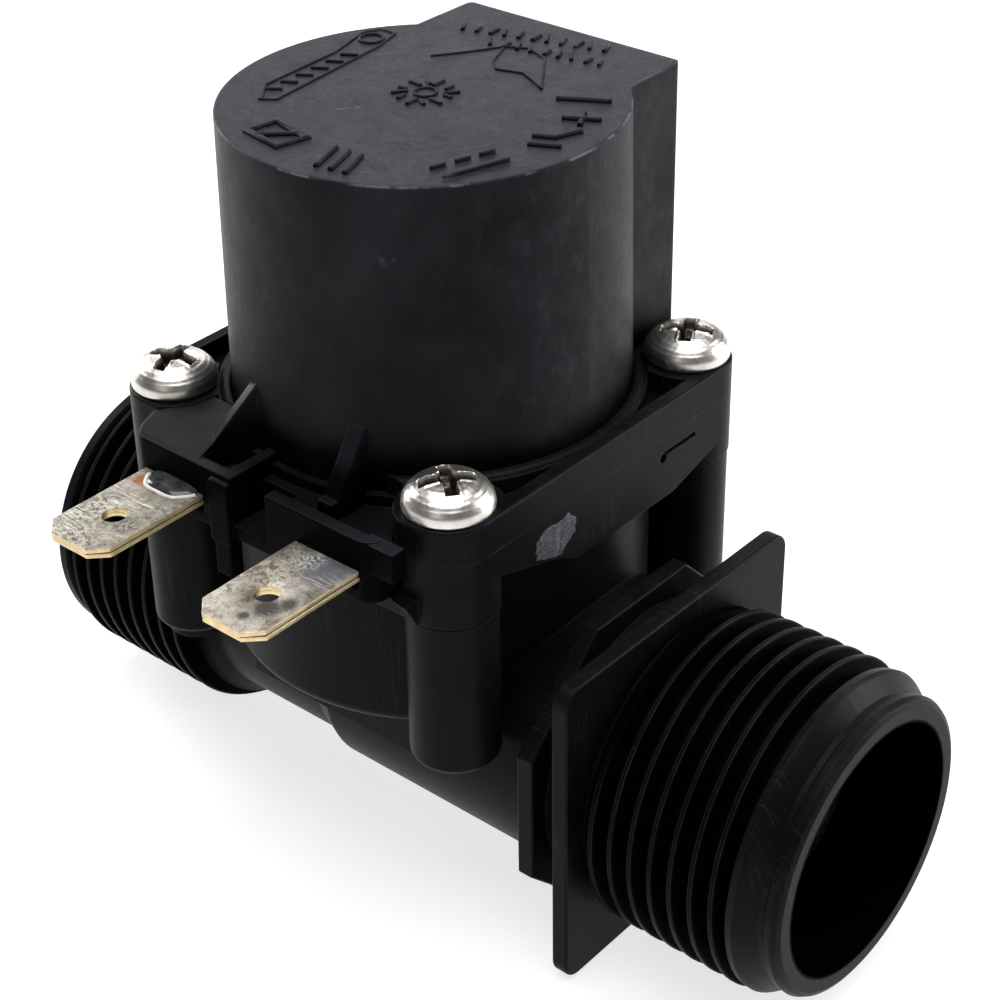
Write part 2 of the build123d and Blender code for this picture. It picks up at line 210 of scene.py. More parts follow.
    def near(self, p, r0, r1):
        """1 within r0 of the point p (row frame), 0 beyond r1."""
        d = self.vmath("DISTANCE", self.obj, tuple(p), out="Value")
        return self.band(d, r0, r1, 1.0, 0.0)

    def color(self, v):
        self.put(self.b.inputs["Base Color"], v)

    def rough(self, v):
        self.put(self.b.inputs["Roughness"], v)

    def metal(self, v):
        self.put(self.b.inputs["Metallic"], v)

    def done(self):
        if self.normal is not None:
            self.t.links.new(self.normal, self.b.inputs["Normal"])
        return self.m


def scratches(M, scale, rot, width=0.012, thin=40.0, cut=0.62):
    """Fine straight scratches in one direction, broken up by a larger noise."""
    v = M.place(scale=(scale, scale * thin, scale), rot=rot)
    s = M.noise(1.0, 2.0, 0.5, v, dist=0.15)
    line = M.band(s, cut, cut + width, 0.0, 1.0)
    gate = M.band(M.noise(160.0, 2.0, 0.5), 0.5, 0.62)
    return M.math("MULTIPLY", line, gate)


def plastic(name, dark, light, worn, rough, spec=0.07, top=None, marks=0.22, dusty=0.14,
            cloudy=140.0, threads=False):
    """Glass-filled black moulding: grain, flow clouding, fibre streaks, rubbed edges, dust."""
    M = Mat(name, rough=rough, spec=spec, color=light)
    cloud = M.noise(cloudy, 5.0, 0.6, dist=0.5)
    fine = M.noise(2600.0, 3.0, 0.65)
    speck = M.noise(6500.0, 2.0, 0.5)
    col = M.ramp(cloud, [(0.3, dark), (0.72, light)])
    # short pale fibres lying in the skin
    fib = M.noise(1.0, 2.0, 0.5, M.place(scale=(700, 5200, 2600), rot=(0.2, 0.5, 0.6)))
    col = M.mix(M.band(fib, 0.66, 0.80, 0.0, marks), col, worn)
    # rubbed edges
    edge = M.edges(0.00035, 3.0)
    rub = M.math("MULTIPLY", edge, M.band(M.noise(420.0, 4.0, 0.65), 0.40, 0.70, 0.15, 1.0))
    col = M.mix(M.math("MULTIPLY", rub, 0.55), col, worn)
    # scratches two ways
    s1 = scratches(M, 210.0, (0.3, 0.2, 0.7))
    s2 = scratches(M, 170.0, (1.1, 0.9, 2.2))
    sc = M.math("MAXIMUM", s1, s2)
    col = M.mix(M.math("MULTIPLY", sc, marks), col, worn)
    # settled dust on what faces up
    nz = M.xyz(M.geo.outputs["Normal"])[2]
    up = M.band(nz, 0.75, 0.99)
    dust = M.math("MULTIPLY", up, M.band(M.noise(900.0, 5.0, 0.7), 0.50, 0.78, 0.0, dusty))
    col = M.mix(dust, col, tuple(c * 1.25 for c in worn))
    gloss = None
    if threads:
        # painted shade darkens the thread valleys and the bore; a painted highlight lightens the crests
        c = P(0, 0, 0)
        rad = M.vmath("DISTANCE", M.vmath("MULTIPLY", M.obj, (0, 1, 1)), (0, c.y, c.z), out="Value")
        x = M.xyz()[0]
        inlet = M.math("MULTIPLY", M.band(x, P(24.7, 0, 0).x, P(25.2, 0, 0).x),
                       M.band(x, P(37.9, 0, 0).x, P(38.5, 0, 0).x, 1.0, 0.0))
        outlet = M.math("MULTIPLY", M.band(x, P(-33.6, 0, 0).x, P(-33.1, 0, 0).x),
                        M.band(x, P(-17.2, 0, 0).x, P(-16.4, 0, 0).x, 1.0, 0.0))
        zone = M.math("MAXIMUM", inlet, outlet)
        valley_and_bore_shade = M.math("MULTIPLY", zone, M.band(rad, 0.01300, 0.01322, 1.0, 0.55))
        valley_and_bore_shade = M.math("MAXIMUM", valley_and_bore_shade, M.band(rad, 0.01030, 0.01050, 1.0, 0.0))
        # painted highlight along the thread crests
        crest = M.math("MULTIPLY", zone, M.band(rad, 0.01308, 0.01318))
        crest = M.math("MULTIPLY", crest, M.edges(0.00012, 3.0))
        crest = M.math("MULTIPLY", crest, M.band(M.noise(330.0, 4.0, 0.65), 0.36, 0.62, 0.25, 1.0))
        col = M.mix(M.math("MULTIPLY", valley_and_bore_shade, 0.95), col, (0.0004, 0.0004, 0.0005))
        col = M.mix(M.math("MULTIPLY", crest, 0.85), col, (0.075, 0.076, 0.082))
        gloss = M.lerp(valley_and_bore_shade, spec, spec * 0.07)
    if top is not None:
        # the coil's flat top is rubbed matt and grey, with faint turned rings and scuffs
        haze = M.math("MULTIPLY", M.band(nz, 0.80, 0.99),
                      M.band(M.xyz()[2], 0.0618, 0.0623))
        haze = M.math("MULTIPLY", haze, M.band(M.xyz()[2], 0.06254, 0.06262, 1.0, 0.12))
        patch = M.band(M.noise(300.0, 6.0, 0.7, dist=0.9), 0.28, 0.75, 0.66, 1.0)
        flat = M.vmath("MULTIPLY", M.obj, (1, 1, 0))
        centre = P(0, 0, 0)
        d = M.vmath("DISTANCE", flat, (centre.x, centre.y, 0), out="Value")
        rings = None
        for r0, gain in ((0.0097, 0.50), (0.0074, 0.36), (0.0058, 0.30)):
            near = M.math("ABSOLUTE", M.math("SUBTRACT", d, r0))
            one = M.band(near, 0.00004, 0.00012, gain, 0.0)
            rings = one if rings is None else M.math("MAXIMUM", rings, one)
        rings = M.math("MULTIPLY", rings, M.band(M.noise(170.0, 3.0, 0.6), 0.42, 0.60))
        grey = M.mix(rings, top, tuple(c * 2.6 for c in top))
        speck_c = M.band(M.noise(1700.0, 5.0, 0.75), 0.53, 0.66, 0.0, 0.80)
        grey = M.mix(speck_c, grey, tuple(c * 1.9 for c in top))
        dark_c = M.band(M.noise(760.0, 6.0, 0.75, dist=0.7), 0.50, 0.64, 0.0, 0.80)
        grey = M.mix(dark_c, grey, tuple(c * 0.42 for c in top))
        # a few straight rubbed streaks, all one way
        away = M.vmath("SUBTRACT", M.obj, tuple(P(0, 0, 48.6)))
        ca, sa = math.cos(0.72), math.sin(0.72)
        along = M.vmath("DOT_PRODUCT", away, (ca, sa, 0.0), out="Value")
        across = M.vmath("DOT_PRODUCT", away, (-sa, ca, 0.0), out="Value")
        broken = M.band(M.noise(1500.0, 3.0, 0.6), 0.40, 0.55)
        for qx, qy, half, wide in ((-3.3, -5.0, 0.00110, 0.00007), (-2.9, -4.3, 0.00070, 0.00005),
                                   (-5.7, 2.4, 0.00090, 0.00006)):
            u0 = (qx * ca + qy * sa) / 1000.0
            w0 = (-qx * sa + qy * ca) / 1000.0
            u = M.math("ABSOLUTE", M.math("SUBTRACT", along, u0))
            w = M.math("ABSOLUTE", M.math("SUBTRACT", across, w0))
            gate = M.math("MULTIPLY", M.band(u, half * 0.6, half, 1.0, 0.0),
                          M.band(w, wide * 0.4, wide, 1.0, 0.0))
            grey = M.mix(M.math("MULTIPLY", gate, broken), grey, (0.11, 0.11, 0.12))
        col = M.mix(M.math("MULTIPLY", haze, patch), col, grey)
        # lighter ragged strip down the rear left side of the drum, where it turns edge-on to view: a
        # painted reflection, flecked brighter and ragged at its border
        side = M.vmath("DOT_PRODUCT", M.geo.outputs["Normal"], (-0.80, -0.60, 0.0), out="Value")
        ragged = M.math("ADD", side, M.math("MULTIPLY", M.math(
            "SUBTRACT", M.noise(230.0, 5.0, 0.7), 0.5), 0.16))
        left_flank_reflection = M.math("MULTIPLY", M.band(ragged, 0.90, 0.965, 0.0, 0.65),
                       M.band(M.xyz()[2], 0.041, 0.044))
        col = M.mix(left_flank_reflection, col, (0.040, 0.042, 0.048))
        col = M.mix(M.math("MULTIPLY", left_flank_reflection, M.band(M.noise(1900.0, 4.0, 0.75), 0.56, 0.68)),
                    col, (0.105, 0.108, 0.118))
        # clouded, streaky skin on both sides of the drum, strongest where it turns edge-on to view: real
        # flow marks with a painted sheen
        other = M.vmath("DOT_PRODUCT", M.geo.outputs["Normal"], (0.80, 0.55, 0.0), out="Value")
        flank_streaks_and_sheen = M.math("MAXIMUM", M.band(side, 0.45, 0.95), M.band(other, 0.10, 0.85))
        streak = M.noise(1.0, 5.0, 0.7, M.place(scale=(760, 760, 420), rot=(0.25, 0.3, 0)), dist=0.45)
        flank_streaks_and_sheen = M.math("MULTIPLY", flank_streaks_and_sheen, M.band(streak, 0.46, 0.72, 0.0, 0.34))
        flank_streaks_and_sheen = M.math("MULTIPLY", flank_streaks_and_sheen, M.band(M.xyz()[2], 0.041, 0.046))
        col = M.mix(flank_streaks_and_sheen, col, (0.040, 0.043, 0.050))
        # one nick in the front of the drum
        nick = M.math("MULTIPLY", M.near(NICK, 0.0003, 0.0009),
                      M.band(M.noise(1700.0, 4.0, 0.7), 0.50, 0.60))
        col = M.mix(nick, col, (0.034, 0.036, 0.042))
        # painted shade around the base of the coil drum, where the collar meets it
        foot_shade = M.math("ADD", M.xyz()[2], M.math("MULTIPLY", M.math(
            "SUBTRACT", M.noise(210.0, 4.0, 0.65), 0.5), 0.0030))
        foot_shade = M.math("MULTIPLY", M.band(foot_shade, 0.0398, 0.0428, 1.0, 0.0), M.band(nz, 0.5, 0.9, 1.0, 0.0))
        col = M.mix(M.math("MULTIPLY", foot_shade, 0.88), col, (0.0007, 0.0007, 0.0009))
        # the ledge between the terminals gets painted shade too
        terminal_bed_shade = M.math("MULTIPLY", M.near(P(3.5, -17.0, 23.0), 0.0045, 0.0095),
                     M.band(M.xyz()[2], 0.0400, 0.0408, 1.0, 0.0))
        col = M.mix(M.math("MULTIPLY", terminal_bed_shade, 0.60), col, (0.0008, 0.0008, 0.0010))
        foot_shade = M.math("MAXIMUM", foot_shade, M.math("MULTIPLY", terminal_bed_shade, 0.6))
        haze2 = M.noise(260.0, 5.0, 0.7, dist=0.8)
        gloss = M.lerp(M.math("MULTIPLY", cloud, haze2), spec * 0.45, spec * 2.6)
        gloss = M.lerp(foot_shade, gloss, spec * 0.15)
        # the rim of the top is rubbed bright in places
        rim = M.math("MULTIPLY", edge, M.band(M.xyz()[2], 0.0615, 0.0621))
        rim = M.math("MULTIPLY", rim, M.band(d, 0.0140, 0.0146))
        col = M.mix(M.math("MULTIPLY", rim, M.band(M.noise(260.0, 4.0, 0.6), 0.42, 0.60, 0.1, 0.8)),
                    col, (0.17, 0.18, 0.19))
        line = M.math("MULTIPLY", M.band(nz, 0.12, 0.35), M.band(nz, 0.86, 0.97, 1.0, 0.0))
        line = M.math("MULTIPLY", line, M.band(M.xyz()[2], 0.0621, 0.0622))
        line = M.math("MULTIPLY", line, M.band(d, 0.0144, 0.0149))
        line = M.math("MULTIPLY", line, M.band(M.noise(420.0, 4.0, 0.7), 0.48, 0.60, 0.04, 0.9))
        col = M.mix(line, col, (0.090, 0.093, 0.100))
    if gloss is not None:
        M.put(M.b.inputs["Specular IOR Level"], gloss)
    M.color(col)
    r = M.lerp(cloud, rough - 0.07, rough + 0.08)
    r = M.math("ADD", r, M.math("MULTIPLY", M.math("SUBTRACT", fine, 0.5), 0.18))
    r = M.math("ADD", r, M.math("MULTIPLY", rub, 0.12), clamp=True)
    M.rough(r)
    M.normal = M.bevel_normal
    M.bump(cloud, 0.25, 0.00008)
    M.bump(fine, 0.22, 0.00003)
    M.bump(speck, 0.10, 0.00001)
    M.bump(M.math("MULTIPLY", sc, -1.0), 0.25, 0.00001)
    return M


# ---------------------------------------------------------------------------
# materials
# ---------------------------------------------------------------------------
NYLON = plastic("black_nylon", (0.0022, 0.0023, 0.0029), (0.0050, 0.0052, 0.0062),
                (0.030, 0.0305, 0.034), 0.40, spec=0.055, threads=True).done()

M = plastic("coil_resin", (0.0034, 0.0039, 0.0050), (0.0108, 0.0122, 0.0150),
            (0.036, 0.038, 0.044), 0.47, spec=0.085, top=(0.0230, 0.0218, 0.0305), marks=0.05,
            dusty=0.05, cloudy=85.0)
COIL = M.done()


def metal_mat(name, base, tint, rough, grain=1800.0, pit=0.3, scratch=0.5):
    M = Mat(name, rough=rough, metal=1.0, color=base)
    big = M.noise(260.0, 4.0, 0.6)
    fine = M.noise(grain, 4.0, 0.7)
    col = M.ramp(big, [(0.25, tint), (0.75, base)])
    s = M.math("MAXIMUM", scratches(M, 420.0, (0.4, 0.1, 0.9)),
               scratches(M, 520.0, (0.9, 1.3, 2.5)))
    M.color(M.mix(M.math("MULTIPLY", s, scratch), col, tuple(min(1, c * 1.2) for c in base)))
    r = M.lerp(fine, rough - 0.08, rough + 0.12)
    M.rough(M.math("ADD", r, M.math("MULTIPLY", s, 0.12), clamp=True))
    M.bump(big, 0.12, 0.00004)
    M.bump(fine, pit, 0.00001)
    return M


ZINC = metal_mat("zinc_steel", (0.62, 0.62, 0.60), (0.48, 0.49, 0.50), 0.34).done()
TURNED = metal_mat("magnetic_steel", (0.60, 0.60, 0.61), (0.50, 0.50, 0.52), 0.24).done()
SPRING = metal_mat("spring_steel", (0.66, 0.66, 0.66), (0.55, 0.55, 0.56), 0.22).done()
COPPER = metal_mat("copper_wire", (0.72, 0.36, 0.20), (0.60, 0.28, 0.14), 0.30).done()
MESHW = metal_mat("strainer_wire", (0.34, 0.34, 0.35), (0.20, 0.20, 0.21), 0.36).done()


def soft_mat(name, a, b, rough, bump=0.3, grain=2200.0):
    M = Mat(name, rough=rough, spec=0.4, color=b)
    big = M.noise(180.0, 4.0, 0.6)
    fine = M.noise(grain, 3.0, 0.6)
    M.color(M.mix(M.band(fine, 0.55, 0.85, 0.0, 0.35), M.ramp(big, [(0.3, a), (0.7, b)]), b))
    M.rough(M.lerp(fine, rough - 0.06, rough + 0.1))
    M.bump(fine, bump, 0.00003)
    return M


RUBBER = soft_mat("black_rubber", (0.020, 0.020, 0.020), (0.034, 0.034, 0.034), 0.66).done()
NATURAL = soft_mat("bobbin_nylon", (0.66, 0.62, 0.53), (0.76, 0.73, 0.65), 0.42).done()
WHITE = soft_mat("insert_nylon", (0.78, 0.78, 0.74), (0.86, 0.86, 0.83), 0.40).done()
TAPE = soft_mat("winding_tape", (0.70, 0.56, 0.09), (0.78, 0.66, 0.16), 0.30).done()
# the strainer's pale worn colour on its edges, scratches and fibres is wear, also used as painted glints in
# the dark bore
STRAINER_WEAR_AND_GLINT = plastic("strainer_nylon", (0.014, 0.014, 0.016), (0.026, 0.026, 0.030),
                 (0.20, 0.20, 0.21), 0.28, spec=0.35).done()

# bright nickel on the screws: dimpled by barrel plating; dirt and painted shade darken the recess
M = Mat("screw_steel", rough=0.32, metal=1.0, color=(0.70, 0.665, 0.62))
big = M.noise(520.0, 4.0, 0.6)
fine = M.noise(2600.0, 4.0, 0.7)
att = M.t.nodes.new("ShaderNodeAttribute")
att.attribute_name = "depth"
deep = M.band(att.outputs["Fac"], 0.02, 0.55)
col = M.ramp(big, [(0.28, (0.56, 0.515, 0.46)), (0.62, (0.76, 0.73, 0.685))])
s = M.math("MAXIMUM", scratches(M, 500.0, (0.2, 0.3, 0.5)), scratches(M, 640.0, (1.0, 0.4, 2.0)))
col = M.mix(M.math("MULTIPLY", s, 0.5), col, (0.95, 0.93, 0.90))
# dirt and painted shade deep in the cross recess
recess_grime_and_shade = M.math("MULTIPLY", deep, M.band(M.noise(1500.0, 4.0, 0.7), 0.3, 0.62, 0.80, 1.0))
col = M.mix(recess_grime_and_shade, col, (0.030, 0.021, 0.014))
M.color(col)
r = M.lerp(fine, 0.22, 0.42)
r = M.math("ADD", r, M.math("MULTIPLY", deep, 0.16))
M.rough(M.math("ADD", r, M.math("MULTIPLY", s, 0.1), clamp=True))
M.bump(big, 0.35, 0.00006)
M.bump(fine, 0.22, 0.00001)
M.bump(s, -0.15, 0.00001)
SCREW = M.done()


def tab_mat(name, left):
    """Tin over brass: crystalline bloom, rubbed to brass on the edges, marked by use."""
    M = Mat(name, rough=0.34, metal=1.0, color=(0.62, 0.575, 0.50))
    crys = M.voronoi(2100.0, "F1", M.place(scale=(1, 1, 1)), out="Color")
    cs = M.xyz(crys)[0]
    big = M.noise(330.0, 5.0, 0.65, dist=0.6)
    fine = M.noise(4200.0, 4.0, 0.7)
    mid = M.noise(1300.0, 4.0, 0.65, dist=0.8)
    # the left blade's tin is scaled darker than the right's: painted shade
    g = 0.56 if left else 0.98
    col = M.ramp(big, [(0.28, (0.30 * g, 0.265 * g, 0.215 * g)), (0.50, (0.56 * g, 0.51 * g, 0.43 * g)),
                       (0.72, (0.74 * g, 0.695 * g, 0.61 * g))])
    col = M.mix(M.math("MULTIPLY", cs, 0.30), col, (0.80 * g, 0.75 * g, 0.66 * g))
    col = M.mix(M.band(mid, 0.48, 0.66, 0.0, 0.75), col, (0.20 * g, 0.165 * g, 0.12 * g))
    vein = M.math("ABSOLUTE", M.math("SUBTRACT", M.noise(760.0, 5.0, 0.7, dist=1.4), 0.5))
    col = M.mix(M.band(vein, 0.004, 0.022, 0.62, 0.0), col, (0.13 * g, 0.105 * g, 0.08 * g))
    sc = M.math("MAXIMUM", scratches(M, 380.0, (0, 0, 0.6), 0.02, 26.0, 0.60),
                scratches(M, 430.0, (0, 0, 2.1), 0.02, 22.0, 0.61))
    if left:
        # rough, bitten grain towards the tip and a scuff beside the hole
        tip = M.near(P(-8.4, -30.2, 22.4), 0.0005, 0.0040)
        tip = M.math("MAXIMUM", tip, M.near(P(-9.9, -27.0, 22.4), 0.0008, 0.0036))
        grain = M.noise(2400.0, 5.0, 0.8)
        bite = M.math("MULTIPLY", tip, M.band(grain, 0.50, 0.56))
        col = M.mix(M.math("MULTIPLY", bite, 0.8), col, (0.62, 0.59, 0.52))
        pits = M.math("MULTIPLY", tip, M.band(grain, 0.40, 0.46, 1.0, 0.0))
        col = M.mix(M.math("MULTIPLY", pits, 0.9), col, (0.075, 0.060, 0.045))
        ding = M.math("MULTIPLY", M.near(P(-6.3, -26.9, 22.4), 0.0004, 0.0015),
                      M.band(M.noise(3000.0, 4.0, 0.7), 0.45, 0.55))
        col = M.mix(ding, col, (0.10, 0.085, 0.065))
        pink = M.near(P(-9.6, -22.2, 22.4), 0.0006, 0.0028)
        col = M.mix(M.math("MULTIPLY", pink, 0.22), col, (0.50, 0.39, 0.36))
        brown = M.math("MULTIPLY", M.near(P(-10.0, -21.9, 22.4), 0.0004, 0.0010),
                       M.band(M.noise(1800.0, 4.0, 0.6), 0.36, 0.46))
        col = M.mix(brown, col, (0.24, 0.075, 0.008))
        soot = M.math("MAXIMUM", ding, brown)
    else:
        # scorch under and beside the hole, dull blue-grey root, scratched flash
        n1 = M.band(M.noise(1300.0, 5.0, 0.75, dist=1.4), 0.36, 0.41)
        scorch = M.math("MAXIMUM", M.near(P(9.3, -27.7, 22.4), 0.0006, 0.0017),
                        M.near(P(10.1, -26.4, 22.4), 0.0003, 0.0013))
        scorch = M.math("MAXIMUM", scorch, M.near(P(8.6, -29.3, 22.4), 0.0002, 0.0008))
        scorch = M.math("MULTIPLY", scorch, n1)
        col = M.mix(M.math("MULTIPLY", scorch, 0.97), col, (0.030, 0.026, 0.022))
        root = M.math("MULTIPLY", M.near(P(9.2, -21.9, 22.4), 0.0012, 0.0032),
                      M.band(M.noise(800.0, 4.0, 0.6, dist=1.0), 0.30, 0.46))
        col = M.mix(M.math("MULTIPLY", root, 0.92), col, (0.110, 0.110, 0.130))
        rust = M.math("MULTIPLY", M.near(P(6.6, -24.6, 22.4), 0.0008, 0.0030),
                      M.band(M.noise(1300.0, 5.0, 0.7, dist=1.8), 0.50, 0.56))
        col = M.mix(M.math("MULTIPLY", rust, 0.8), col, (0.16, 0.085, 0.055))
        fl = M.math("MULTIPLY", M.near(P(6.6, -21.6, 22.4), 0.0006, 0.0026),
                    M.band(M.noise(2600.0, 5.0, 0.8, dist=1.6), 0.50, 0.56))
        col = M.mix(fl, col, (0.92, 0.90, 0.84))
        soot = M.math("MAXIMUM", scorch, M.math("MULTIPLY", root, 0.5))
    col = M.mix(M.math("MULTIPLY", sc, 0.6), col, (0.90, 0.87, 0.80))
    # brass shows on the cut edges
    nz = M.math("ABSOLUTE", M.xyz(M.geo.outputs["True Normal"])[2])
    side = M.band(nz, 0.45, 0.86, 1.0, 0.0)
    brass = M.ramp(M.noise(900.0, 4.0, 0.6), [(0.3, (0.62, 0.46, 0.22)), (0.7, (0.90, 0.74, 0.44))])
    col = M.mix(M.math("MULTIPLY", side, 0.9), col, brass)
    M.color(col)
    r = M.lerp(big, 0.40, 0.60) if left else M.lerp(big, 0.30, 0.52)
    r = M.math("ADD", r, M.math("MULTIPLY", soot, 0.22))
    r = M.math("ADD", r, M.math("MULTIPLY", M.math("SUBTRACT", fine, 0.5), 0.2), clamp=True)
    M.rough(r)
    M.metal(M.math("SUBTRACT", 1.0, M.math("MULTIPLY", soot, 0.75), clamp=True))
    M.bump(big, 0.35, 0.00008)
    M.bump(mid, 0.45, 0.00005)
    M.bump(fine, 0.40, 0.000015)
    M.bump(sc, -0.4, 0.000014)
    return M.done()


TAB_L = tab_mat("tinned_brass_left_shaded", True)
TAB_R = tab_mat("tinned_brass_right", False)

# flux and resin that crept on to the left blade: glossy, with a meniscus painted near-white as a highlight
M = Mat("flux_bead", rough=0.10, spec=0.30, coat=0.15, coat_rough=0.05, color=(0.05, 0.05, 0.052))
n = M.noise(900.0, 4.0, 0.6)
M.color(M.ramp(n, [(0.3, (0.012, 0.0125, 0.014)), (0.7, (0.052, 0.053, 0.058))]))
M.rough(M.lerp(n, 0.06, 0.20))
M.bump(n, 0.2, 0.00005)
BEAD = M.done()
# near-white solder meniscus colour: a painted highlight
M = Mat("solder_rim_highlight", rough=0.22, metal=0.25, color=(0.90, 0.89, 0.86))
n = M.noise(1800.0, 4.0, 0.6)
M.color(M.ramp(n, [(0.3, (0.74, 0.72, 0.67)), (0.7, (0.95, 0.94, 0.91))]))
M.rough(M.lerp(n, 0.10, 0.26))
M.bump(n, 0.3, 0.00003)
MENISCUS_HIGHLIGHT = M.done()

# plastic torn and whitened by a knock
M = Mat("bruised_nylon", rough=0.6, spec=0.4, color=(0.10, 0.10, 0.105))
n1 = M.noise(1500.0, 5.0, 0.75, dist=1.5)
n2 = M.noise(5200.0, 3.0, 0.6)
lean = M.noise(1.0, 4.0, 0.65, M.place(scale=(900, 2600, 520), rot=(-0.52, 0, 0)), dist=0.6)
M.color(M.mix(M.band(lean, 0.52, 0.64), M.ramp(n1, [(0.34, (0.010, 0.0105, 0.013)),
                                                  (0.62, (0.050, 0.051, 0.060))]),
              (0.088, 0.090, 0.102)))
M.rough(M.lerp(n2, 0.48, 0.75))
M.bump(n1, 0.8, 0.00010)
M.bump(n2, 0.4, 0.00002)
BRUISE = M.done()

by_slot = {"black_nylon": NYLON, "coil_resin": COIL, "bobbin_nylon": NATURAL,
           "copper_wire": COPPER, "winding_tape": TAPE, "zinc_steel": ZINC,
           "screw_steel": SCREW, "tinned_brass": TAB_R, "magnetic_steel": TURNED,
           "spring_steel": SPRING, "black_rubber": RUBBER, "insert_nylon": WHITE,
           "strainer_nylon": STRAINER_WEAR_AND_GLINT, "strainer_wire": MESHW}
for sp in frame["record"]["subparts"]:
    o = nodes[sp["node"]]
    o.data.materials.clear()
    o.data.materials.append(by_slot[sp["material_slot"]])


# ---------------------------------------------------------------------------
# mesh helpers
# ---------------------------------------------------------------------------
def piece(name, verts, faces, mat, body=ROOT, smooth=True, sharp=40.0, attr=None):
    me = bpy.data.meshes.new(name)
    me.from_pydata([tuple(v) for v in verts], [], faces)
    me.validate()
    if attr is not None:
        a = me.attributes.new("depth", "FLOAT", "POINT")
        a.data.foreach_set("value", attr)
    bm = bmesh.new()
    bm.from_mesh(me)
    bmesh.ops.recalc_face_normals(bm, faces=bm.faces)
    bm.to_mesh(me)
    bm.free()
    o = bpy.data.objects.new(name, me)
    scene.collection.objects.link(o)
    me.materials.append(mat)
    if smooth:
        me.shade_smooth()
        me.set_sharp_from_angle(angle=math.radians(sharp))
    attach(o, body)
    return o


def merge(parts):
    verts, faces = [], []
    for v, f in parts:
        k = len(verts)
        verts += v
        faces += [tuple(i + k for i in q) for q in f]
    return verts, faces


def lathe(profile, seg, centre=(0, 0), axis="z"):
    """Closed profile of (r, z) in valve millimetres, turned about Z at centre."""
    verts, faces = [], []
    n = len(profile)
    for i in range(seg):
        a = 2 * math.pi * i / seg
        for r, z in profile:
            if axis == "z":
                verts.append(P(centre[0] + r * math.cos(a), centre[1] + r * math.sin(a), z))
            else:
                verts.append(P(z, centre[0] + r * math.cos(a), centre[1] + r * math.sin(a)))
    for i in range(seg):
        for j in range(n):
            a, b = i * n + j, i * n + (j + 1) % n
            c, d = ((i + 1) % seg) * n + (j + 1) % n, ((i + 1) % seg) * n + j
            faces.append((a, b, c, d))
    return verts, faces


def tube(path, r, seg=8, closed=False):
    """Round wire along a list of points in metres."""
    verts, faces = [], []
    n = len(path)
    up = Vector((0.13, 0.21, 0.97))
    for i, p in enumerate(path):
        a = path[(i - 1) % n] if (closed or i > 0) else path[i]
        b = path[(i + 1) % n] if (closed or i < n - 1) else path[i]
        t = (b - a).normalized()
        u = (up - t * up.dot(t)).normalized()
        up = u
        w = t.cross(u)
        for k in range(seg):
            g = 2 * math.pi * k / seg
            verts.append(p + (u * math.cos(g) + w * math.sin(g)) * r)
    for i in range(n if closed else n - 1):
        for k in range(seg):
            j = (i + 1) % n
            faces.append((i * seg + k, i * seg + (k + 1) % seg,
                          j * seg + (k + 1) % seg, j * seg + k))
    if not closed:
        faces.append(tuple(range(seg))[::-1])
        faces.append(tuple((n - 1) * seg + k for k in range(seg)))
    return verts, faces


# ---------------------------------------------------------------------------
# cover screws: pan head, plated, cross recess with worn lips
# ---------------------------------------------------------------------------
Z_SEAT = 26.05


def dome(r):
    """Height of the pan head above the seat at radius r, mm."""
    prof = [(0, 2.44), (0.6, 2.42), (1.2, 2.34), (1.8, 2.20), (2.4, 1.93), (2.8, 1.65),
            (3.1, 1.32), (3.3, 0.98), (3.40, 0.65), (3.42, 0.40)]
    for (r0, z0), (r1, z1) in zip(prof, prof[1:]):
        if r <= r1:
            t = (r - r0) / (r1 - r0)
            t = t * t * (3 - 2 * t) * 0.35 + t * 0.65
            return z0 + (z1 - z0) * t
    return prof[-1][1]


def smooth(a, b, x):
    t = max(0.0, min(1.0, (x - a) / (b - a)))
    return t * t * (3 - 2 * t)


